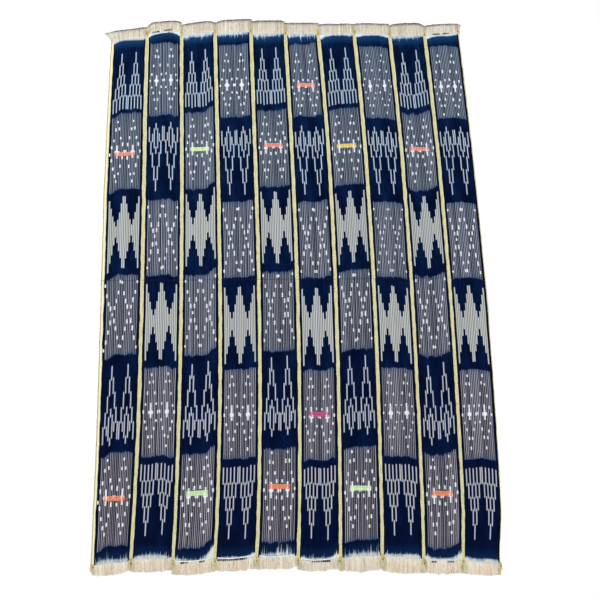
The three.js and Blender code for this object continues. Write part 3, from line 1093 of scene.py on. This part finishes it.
def columns_of(column):
    """Where the bundles of one chart column lie across the strip, on both halves."""
    for side in (-1, 1):
        for number in {AXIS_COLUMN - column, AXIS_COLUMN + column}:
            yield side * (number + 0.5) * BUNDLE


def dots_on(index, chart, centre, chance):
    size = SMALL_DOTS.get(index + 1, 1.0)
    for dot in chart:
        for across in columns_of(dot.column):
            y = centre + dot.along + slip_at(index, across)
            yield from dot_picks(across, y, dot.tall, size, chance)


def cross_picks(index, axis, centre, up, down, chance):
    """A cross: a stepped body three bundles wide on a long thin arm."""
    centre = centre + CROSS_SLIP * slip_at(index, axis)
    narrow = chance.uniform(0.75, 1.0)
    for y in np.arange(-down, up, PICK_PITCH):
        wide = ARM_WIDE
        for step in CROSS_BODY:
            wide = max(wide, narrow * step.wide * (abs(y) < step.half_tall))
        yield Pick(axis + chance.uniform(-0.2, 0.2), centre + y, wide * chance.uniform(0.94, 1.04))


def pick_yarns(name, index, picks, material, base=0.0):
    """Turns picks into yarns that arch over the cloth."""
    share = np.array(PICK_SHARES)
    middle, y, width = (np.array(row)[:, None] for row in zip(*picks))
    across = middle + width * share
    arch = 1 - (2 * share) ** 4
    centres = top_face(index, across, y, base + PICK_HEIGHT * (arch - PICK_SUNK))
    half_width = PICK_HALF_WIDTH * (0.72 + 0.28 * arch)
    return yarn_mesh(name, centres, half_width, half_width * 0.8, material)


# %% Inlay the white dots and crosses
AXIS = (AXIS_COLUMN + 0.5) * BUNDLE
Place = namedtuple("Place", "row distance chart arm_up arm_down")
EVEN_PLACES = [
    Place("upper", 158, CROSS_DOTS, 19, 18), Place("diamonds", 653, DIAMOND_DOTS, 0, 0),
    Place("lower", 1149, CROSS_DOTS, 26, 15),
]
ODD_PLACES = [
    Place("upper", 378, BAR_DOTS, 22, 19), Place("diamonds", 863, DIAMOND_DOTS, 0, 0),
    Place("lower", 1357, BAR_DOTS, 22, 19),
]


def inlay(index):
    chance = np.random.default_rng(500 + index)
    picks = []
    for place in EVEN_PLACES if index % 2 else ODD_PLACES:
        centre = DYED[index].start - place.distance + getattr(COUNTED[index], place.row)
        picks += dots_on(index, place.chart, centre, chance)
        if place.arm_up:
            for axis in (-AXIS, AXIS):
                picks += cross_picks(index, axis, centre, place.arm_up, place.arm_down, chance)
    return pick_yarns(f"white_inlay_{index + 1:02d}", index, picks, white_yarn)


inlays = [inlay(index) for index in range(STRIP_COUNT)]
print("white inlay, faces:", sum(len(piece.data.polygons) for piece in inlays))

# %% [markdown]
# ## Coloured bars
#
# In some blocks a bright weft is laid right across both crosses: coral, orange, lime, amber and magenta.
# These picks are long, so every second bundle holds them down. They lie on top of the white ones.

# %% Bars from a short table
Bar = namedtuple("Bar", "strip distance slope dark light")
CORAL = (colour(196, 92, 82), colour(248, 168, 152))
ORANGE = (colour(204, 88, 44), colour(248, 160, 122))
LIME = (colour(158, 200, 122), colour(228, 252, 200))
AMBER = (colour(196, 158, 56), colour(246, 224, 136))
MAGENTA = (colour(150, 24, 74), colour(214, 92, 140))
BARS = [
    Bar(1, 376, 0.014, *CORAL), Bar(1, 1358, 0.015, *ORANGE),
    Bar(3, 371, 0.0, *LIME), Bar(3, 1354, 0.027, *LIME),
    Bar(5, 360, -0.035, *CORAL), Bar(5, 1338, -0.051, *ORANGE),
    Bar(6, 160, -0.079, *CORAL), Bar(6, 1145.5, -0.047, *MAGENTA),
    Bar(7, 366, 0.027, *AMBER), Bar(7, 1345.6, -0.03, *LIME),
    Bar(9, 366, -0.065, *CORAL), Bar(9, 1347, -0.045, *ORANGE),
]
BAR_WIDE, BAR_TALL, BAR_STEPS = 60.0, 12.5, 49
BAR_RISE, BAR_SUNK, BAR_PICK_HALF = 1.35, 0.4, 0.66


def make_bar(number, bar):
    index = bar.strip - 1
    chance = np.random.default_rng(900 + number)
    share = np.linspace(-0.5, 0.5, BAR_STEPS)
    rows = np.arange(-BAR_TALL / 2, BAR_TALL / 2, PICK_PITCH)
    wide = BAR_WIDE * chance.uniform(0.96, 1.03, (len(rows), 1))
    across = wide * share + chance.uniform(-0.6, 0.6, (len(rows), 1))
    y = DYED[index].start - bar.distance + rows[:, None] + bar.slope * across
    y = y + 0.25 * np.sin(across * 0.9 + rows[:, None])
    held = np.abs(np.sin(np.pi * across / (2 * BUNDLE))) ** 0.6
    arch = 1 - (2 * share) ** 12
    centres = top_face(index, across, y, BAR_RISE * held * arch - BAR_SUNK)
    half_width = BAR_PICK_HALF * (0.4 + 0.6 * arch) * (0.85 + 0.15 * held)
    material = yarn_material(f"Bright weft {number + 1:02d}", bar.dark, bar.light)
    return yarn_mesh(f"bright_bar_{number + 1:02d}", centres, half_width, half_width * 0.8, material)


bars = [make_bar(number, bar) for number, bar in enumerate(BARS)]
print("bright bars:", len(bars))

# %% [markdown]
# ## Sewing the strips together
#
# Neighbouring strips are whipped together over their yellow selvedges with an olive thread: each stitch
# climbs over both edges at a slant and draws them together to a low ridge. Modelled stitches give the
# seams their dotted look, which a bump map loses when seen from the side.

# %% Whip stitches
STITCH_PITCH = 6.2
STITCH_REACH = 2.5
STITCH_SLANT = 2.8
STITCH_SUNK, STITCH_RISE = 0.3, 0.95
STITCH_HALF = (0.36, 0.34)
CORD_STEPS, CORD_HALF = 240, (1.3, 0.45)
SEAM_INSET = 2


def make_seam(seam):
    chance = np.random.default_rng(300 + seam)
    left, right = seam - 1, seam
    top = min(TOP_ENDS[left].right, TOP_ENDS[right].left) - SEAM_INSET
    foot = max(FOOT_ENDS[left].right, FOOT_ENDS[right].left) + SEAM_INSET
    heights = np.arange(foot, top, STITCH_PITCH)
    heights = heights + chance.uniform(-0.9, 0.9, len(heights))
    share = np.linspace(-1, 1, 6)
    reach = STITCH_REACH * chance.uniform(0.75, 1.2, (len(heights), 1))
    y = heights[:, None] + STITCH_SLANT * share * chance.uniform(0.6, 1.3, (len(heights), 1))
    x = seam_x(seam, y) + reach * share
    arch = 1 - share**4
    z = lift(x, y) + CLOTH_THICKNESS - STITCH_SUNK + STITCH_RISE * arch
    stitches = yarn_mesh(f"seam_stitches_{seam:02d}", np.stack([x, y, z], -1), *STITCH_HALF, seam_thread)

    cord_y = np.linspace(foot, top, CORD_STEPS)
    cord_x = seam_x(seam, cord_y)
    cord_z = lift(cord_x, cord_y) + CLOTH_THICKNESS - 0.1
    ridge = np.stack([cord_x, cord_y, cord_z], -1)
    cord = yarn_mesh(f"seam_cord_{seam:02d}", [ridge], *CORD_HALF, selvedge_yarn, sides=6)
    return stitches, cord


sewing = [piece for seam in range(1, STRIP_COUNT) for piece in make_seam(seam)]
print("seams sewn:", len(sewing) // 2, "faces of the first:", len(sewing[0].data.polygons))

# %% [markdown]
# ## The fringe
#
# When the strip is cut from the loom, its warp ends hang loose: about two hundred yarns at each end of each
# strip. They clump into locks, bend a little and lie on the floor. Particle hair would not export as a
# mesh, so the yarn function sweeps them too. The outermost yarns are the yellow selvedge.

# %% How each end is cut
TipDrop = namedtuple("TipDrop", "left right")
TOP_DROPS = [
    TipDrop(0, 0), TipDrop(17, 9), TipDrop(4, 12), TipDrop(8, 3), TipDrop(3, 6),
    TipDrop(0, 2), TipDrop(4, 4), TipDrop(4, 1), TipDrop(7, 13), TipDrop(5, 4),
]
FOOT_DROP = TipDrop(4, 4)
LEFT_FLARE, RIGHT_FLARE, FLARE_POWER = 24, 10, 6

# full is the length as a share of the table's, and drop_power how suddenly the corners drop
Cut = namedtuple("Cut", "uneven full drop_power wave spread yellow yellow_fade")
TOP_CUT = Cut(0.015, 0.94, 5, 0.3, 2.6, 0.055, 0.5)
FOOT_CUT = Cut(0.05, 1.14, 2, 1.2, 4.0, 0.085, 0.2)

# %% Strands of one end
STRANDS_LOW, STRANDS_HIGH = 190, 90
CLUMPS = 30
WAVE_POINTS, LEAN_POINTS = 12, 7
STRAND_STEPS = 8
ALONG_STRAND = 1 - (1 - np.linspace(0, 1, STRAND_STEPS)) ** 1.6
ROOT_INSET, ROOT_MARGIN = 3, 1.2

Strands = namedtuple("Strands", "side high clump clump_chance")


def plan_strands(chance):
    """Where each strand starts, from -0.5 to 0.5, whether it lies on top, and which clump it joins."""
    side = np.concatenate([np.linspace(-0.5, 0.5, STRANDS_LOW), chance.uniform(-0.49, 0.49, STRANDS_HIGH)])
    high = (np.arange(len(side)) >= STRANDS_LOW).astype(float)
    clump = np.clip(((side + 0.5) * CLUMPS).astype(int), 0, CLUMPS - 1)
    return Strands(side, high, clump, chance.random(CLUMPS)[clump])


def strand_lengths(end, drop, cut, strands, chance):
    side = strands.side
    length = end.fringe * (cut.full - cut.uneven * (chance.random(len(side)) + strands.clump_chance + 1))
    length -= drop.left * np.clip(-2 * side, 0, 1) ** cut.drop_power
    length -= drop.right * np.clip(2 * side, 0, 1) ** cut.drop_power
    wave = chance.normal(0, cut.wave, WAVE_POINTS)
    return length + np.interp(side, np.linspace(-0.5, 0.5, WAVE_POINTS), wave)


def corner_flare(index, outward, side):
    """How far the strands of the two top corners splay out, to the left."""
    if outward > 0 and index == 0:
        return LEFT_FLARE * (0.5 - side) ** FLARE_POWER
    if outward > 0 and index == STRIP_COUNT - 1:
        return -RIGHT_FLARE * (0.5 + side) ** FLARE_POWER
    return 0 * side


def strand_drift(index, cut, strands, flare, chance):
    """How far each tip strays across: towards its clump, with its neighbours, and on its own."""
    side = strands.side
    clump_middle = (strands.clump + 0.5) / CLUMPS - 0.5
    gather = (clump_middle - side) * STRIP_WIDTH * chance.uniform(0, 0.4 + 0.5 * strands.high, len(side))
    lean = np.interp(side, np.linspace(-0.5, 0.5, LEAN_POINTS), chance.normal(0, 1.2, LEAN_POINTS))
    spread = np.sign(side) * np.abs(2 * side) ** 8 * cut.spread
    outer = (side < 0) if index == 0 else (side > 0) & (index == STRIP_COUNT - 1)
    spread = np.where(outer, -0.5 * spread, spread)
    return gather + lean + spread + chance.normal(0, 0.6, len(side)) - flare


def strand_paths(index, outward, end, cut, strands, length, chance):
    """The centre lines of the strands, from under the heading to their tips on the floor."""
    side, high, share = strands.side, strands.high, ALONG_STRAND
    column = (len(side), 1)
    flare = corner_flare(index, outward, side)
    rise = np.sqrt(length**2 - flare**2)
    root_y = end.left + (end.right - end.left) * (side + 0.5) - outward * ROOT_INSET
    root_x = strip_x(index, side * (STRIP_WIDTH - ROOT_MARGIN), root_y)
    drift = strand_drift(index, cut, strands, flare, chance)
    curl_size = chance.normal(0, 0.5, column)
    curl = curl_size * np.sin(share * chance.uniform(2, 6, column) + chance.uniform(0, 6, column))
    x = root_x[:, None] + drift[:, None] * share**1.4 + curl * share
    y = root_y[:, None] + outward * (rise[:, None] + ROOT_INSET) * share
    rest = 0.45 + 0.5 * chance.random(len(side)) + 0.7 * high
    above_rest = 1.0 + 0.5 * high - rest
    z = rest[:, None] + above_rest[:, None] * (1 - share) ** 2 + 0.6 * high[:, None] * np.sin(share * np.pi)
    return np.stack([x, y, z], -1)


def strand_tints(at_top, cut, side, chance):
    """How yellow, brown and white each strand is: stained brown, and at the top tips a painted shadow."""
    count, share = len(side), ALONG_STRAND
    tint = np.zeros((count, STRAND_STEPS, 3))
    edge = (np.abs(side) > 0.5 - cut.yellow).astype(float)[:, None]
    tint[:, :, 0] = edge * (0.9 - cut.yellow_fade * share)
    flecked = (chance.random(count) < 0.12)[:, None] * (chance.random((count, STRAND_STEPS)) > 0.6)
    tint[:, :, 1] = edge * 0.12 * share + flecked * 0.6
    # The last points of the top fringe are painted brown: a painted shadow line along its tips
    if at_top:
        tint[:, -3:, 1] = (0.4, 1.0, 1.0)
    else:
        tint[:, -3:, 1] += (chance.random(count) < 0.07)[:, None] * np.array([0.2, 0.5, 0.6])
    tint[:, :, 2] = 0.85 * (1 - smooth_step(share / 0.3)) * (1 - edge)
    return tint


# %% Twenty fringes
def make_fringe(index, outward):
    at_top = outward > 0
    end = (TOP_ENDS if at_top else FOOT_ENDS)[index]
    drop = TOP_DROPS[index] if at_top else FOOT_DROP
    cut = TOP_CUT if at_top else FOOT_CUT
    chance = np.random.default_rng(100 + index + (50 if at_top else 0))
    strands = plan_strands(chance)
    count = len(strands.side)
    length = strand_lengths(end, drop, cut, strands, chance)
    paths = strand_paths(index, outward, end, cut, strands, length, chance)
    taper = 0.46 * (1 - 0.25 * ALONG_STRAND**3) * chance.uniform(0.85, 1.15, (count, 1))
    tint = strand_tints(at_top, cut, strands.side, chance)
    shades = 0.6 * strands.clump_chance + 0.4 * chance.random(count)
    name = f"fringe_{'top' if at_top else 'foot'}_{index + 1:02d}_yarns"
    material = fringe_yarn if at_top else foot_yarn
    return yarn_mesh(name, paths, taper, taper, material, tint=tint, chance=shades)


fringes = {
    (index, outward): make_fringe(index, outward)
    for index in range(STRIP_COUNT)
    for outward in (1, -1)
}
print("fringes:", len(fringes), "faces each:", len(fringes[0, 1].data.polygons))

# %% Loose thread ends and knots where the seams end
TAILS_PER_SEAM, TAIL_STEPS = 10, 17
TAIL_HALF, KNOT_HALF = (0.42, 0.4), (0.6, 0.5)
TAIL_HEIGHT, KNOT_HEIGHT, TAIL_INSET = 2.1, 2.3, 2
KNOT_SIZE, KNOT_TURNS = 1.5, 2.1
RIM_INSET = 5


def seam_end(seam, outward):
    """Where a seam or an outer edge ends, and how long the fringe beside it is."""
    ends = TOP_ENDS if outward > 0 else FOOT_ENDS
    left, right = ends[max(seam - 1, 0)], ends[min(seam, STRIP_COUNT - 1)]
    y = (left.right + right.left) / 2
    if seam == 0:
        y = right.left
    if seam == STRIP_COUNT:
        y = left.right
    x = float(seam_x(seam, y)) + (RIM_INSET if seam == 0 else 0)
    return x, y, min(left.fringe, right.fringe)


def make_tails(name, outward, first_seam):
    chance = np.random.default_rng(60 + outward)
    share = np.linspace(0, 1, TAIL_STEPS)
    turn = share * 2 * np.pi * KNOT_TURNS
    tails, knots = [], []
    for seam in range(first_seam, STRIP_COUNT + 1):
        root_x, root_y, fringe = seam_end(seam, outward)
        z = TAIL_HEIGHT + 0.5 * np.sin(3 * share + seam)
        for _ in range(TAILS_PER_SEAM):
            reach = fringe * chance.uniform(0.35, 0.85)
            sway = chance.uniform(0.5, 2.0) * np.sin(share * chance.uniform(3, 8) + chance.uniform(0, 6))
            x = root_x + chance.normal(0, 1.6) + chance.normal(0, 0.2) * reach * share + sway * share
            y = root_y + outward * (reach * share - TAIL_INSET)
            tails.append(np.stack([x, y, z], -1))
        size = KNOT_SIZE * chance.uniform(0.6, 1.3)
        x = root_x + chance.normal(0, 1.5) + size * np.cos(turn)
        y = root_y + outward * chance.uniform(-2, 9) + size * np.sin(turn)
        knots.append(np.stack([x, y, KNOT_HEIGHT + 0.7 * share], -1))
    return [
        yarn_mesh(f"{name}_tails", tails, *TAIL_HALF, ochre_thread),
        yarn_mesh(f"{name}_knots", knots, *KNOT_HALF, knot_thread),
    ]


loose_ends = make_tails("top", 1, 1) + make_tails("foot", -1, 0)
print("loose ends:", [piece.name for piece in loose_ends])

# %% [markdown]
# ## Marks in the heading
#
# The weaver starts and ends a strip with a few picks of another yarn: a white line, and a dark weft that
# dips in and out of the undyed warp as a row of dashes. The beat of the loom bows them a little.

# %% White lines and dark dashes
Mark = namedtuple("Mark", "strip outward left right beyond bow white")
MARKS = [
    Mark(3, -1, -45, 44, -1.2, 4, True), Mark(3, -1, -32, -13, 0.8, 0, False),
    Mark(3, -1, 17, 31, 0.8, 0, False), Mark(4, -1, -46, 50, -4.0, 5, True),
    Mark(4, -1, -46, 32, -1.6, 2, False), Mark(5, -1, -46, 46, -0.5, 5, True),
    Mark(6, -1, -46, 44, -1.6, 9, True), Mark(6, -1, -18, 30, 0.9, 0, False),
    Mark(9, -1, -36, 33, -2.8, 1, True), Mark(9, -1, -32, -22, 0.4, 0, False),
    Mark(9, -1, 12, 28, 0.6, 0, False),
    Mark(2, 1, -45, 8, -2.4, 12, True), Mark(2, 1, -38, -16, 2.4, 6, False),
    Mark(2, 1, 2, 23, 4.4, 0, False), Mark(10, 1, 6, 25, -0.4, 0, False),
    Mark(10, 1, -28, -4, -1.0, 0, False),
]
WHITE_STEP, WHITE_WIDE, WHITE_ROWS = 4.0, 5.2, (0.0, 1.1)
DASH_WIDE, DASH_ROWS = 3.6, (0.0, 1.1, 2.2, 3.3)
MARK_BASE = 0.35


def mark_picks(mark, chance):
    step, wide, rows = BUNDLE, DASH_WIDE, DASH_ROWS
    if mark.white:
        step, wide, rows = WHITE_STEP, WHITE_WIDE, WHITE_ROWS
    for across in np.arange(mark.left, mark.right, step):
        top, foot = end_heights(mark.strip - 1, across)
        end = top if mark.outward > 0 else foot
        bowed = mark.beyond - mark.bow * (2 * across / STRIP_WIDTH) ** 2
        dash = 1 if mark.white else chance.uniform(0.5, 1.4)
        for row in rows:
            yield Pick(across, end + mark.outward * (bowed + row), wide * dash)


def make_marks(index):
    own = [mark for mark in MARKS if mark.strip == index + 1]
    chance = np.random.default_rng(800 + index)
    for white, material in ((True, white_yarn), (False, dark_yarn)):
        picks = [pick for mark in own if mark.white == white for pick in mark_picks(mark, chance)]
        if picks:
            name = f"heading_{index + 1:02d}_{'white' if white else 'dark'}"
            yield pick_yarns(name, index, picks, material, base=MARK_BASE)


marks = [piece for index in range(STRIP_COUNT) for piece in make_marks(index)]
print("heading marks:", len(marks))

# %% [markdown]
# ## Putting the pieces on their body
#
# The imported model still has its plain solids. Each finished sheet and fringe stands in for one of them,
# and rides on the same body.

# %% Ride and replace
for index, strip in enumerate(strips):
    number = f"{index + 1:02d}"
    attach(strip, "root")
    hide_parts(f"strip_{number}")
    pieces = [fringes[index, 1], fringes[index, -1], inlays[index]]
    for piece, node in zip(pieces, (f"fringe_top_{number}", f"fringe_foot_{number}", None)):
        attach(piece, "root")
        if node:
            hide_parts(node)
for piece in bars + sewing + loose_ends + marks:
    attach(piece, "root")

# %% [markdown]
# ## Floor, light and camera
#
# The cloth lies on a plain pale floor under soft light. The camera stands nearly above it, a little towards
# its foot, which makes the far end look narrower.

# %% Floor
FLOOR_SIZE = 7.0
half = FLOOR_SIZE / 2
floor_corners = [(-half, -half, 0), (half, -half, 0), (half, half, 0), (-half, half, 0)]
floor_mesh = bpy.data.meshes.new("floor")
floor_mesh.from_pydata(floor_corners, [], [(0, 1, 2, 3)])
floor = show("floor", floor_mesh)
floor_material = bpy.data.materials.new("Pale floor")
floor_material.use_nodes = True
floor_shader = floor_material.node_tree.nodes["Principled BSDF"]
floor_shader.inputs["Base Color"].default_value = (0.93, 0.93, 0.925, 1)
floor_shader.inputs["Roughness"].default_value = 0.9
floor_mesh.materials.append(floor_material)


# %% Light
CLOTH_MIDDLE = Vector((0, 0, 0))


def soft_light(name, place, size, power):
    """A round lamp that faces the middle of the cloth."""
    light = bpy.data.lights.new(name, "AREA")
    light.shape = "DISK"
    light.size = size
    light.energy = power
    lamp = show(name, light)
    lamp.location = place
    lamp.rotation_euler = (CLOTH_MIDDLE - Vector(place)).to_track_quat("-Z", "Y").to_euler()


soft_light("window_light", (-1.6, 1.2, 2.6), 1.6, 36)
soft_light("fill_light", (1.8, -1.4, 2.8), 2.2, 20)
world = bpy.data.worlds.new("Pale room")
world.use_nodes = True
world.node_tree.nodes["Background"].inputs["Color"].default_value = (1.0, 1.0, 1.0, 1)
world.node_tree.nodes["Background"].inputs["Strength"].default_value = 0.8
bpy.context.scene.world = world
bpy.context.scene.view_settings.view_transform = "Standard"

# %% Camera
# Fitted to the ten strips of the photo, in the loom's millimetres and in radians
CAMERA_PLACE = (14.66, -251.02, 1273.8)
CAMERA_TILT = 0.144786
CAMERA_ROLL = -0.027227
LENS, SENSOR = 27.0, 36.0

camera_data = bpy.data.cameras.new("camera")
camera_data.lens = LENS
camera_data.sensor_width = SENSOR
camera = show("camera", camera_data)
place = Matrix.Translation(Vector(in_metres(CAMERA_PLACE)))
camera.matrix_world = place @ Matrix.Rotation(CAMERA_TILT, 4, "X") @ Matrix.Rotation(CAMERA_ROLL, 4, "Z")
bpy.context.scene.camera = camera

# %% Finish
bpy.context.view_layer.update()
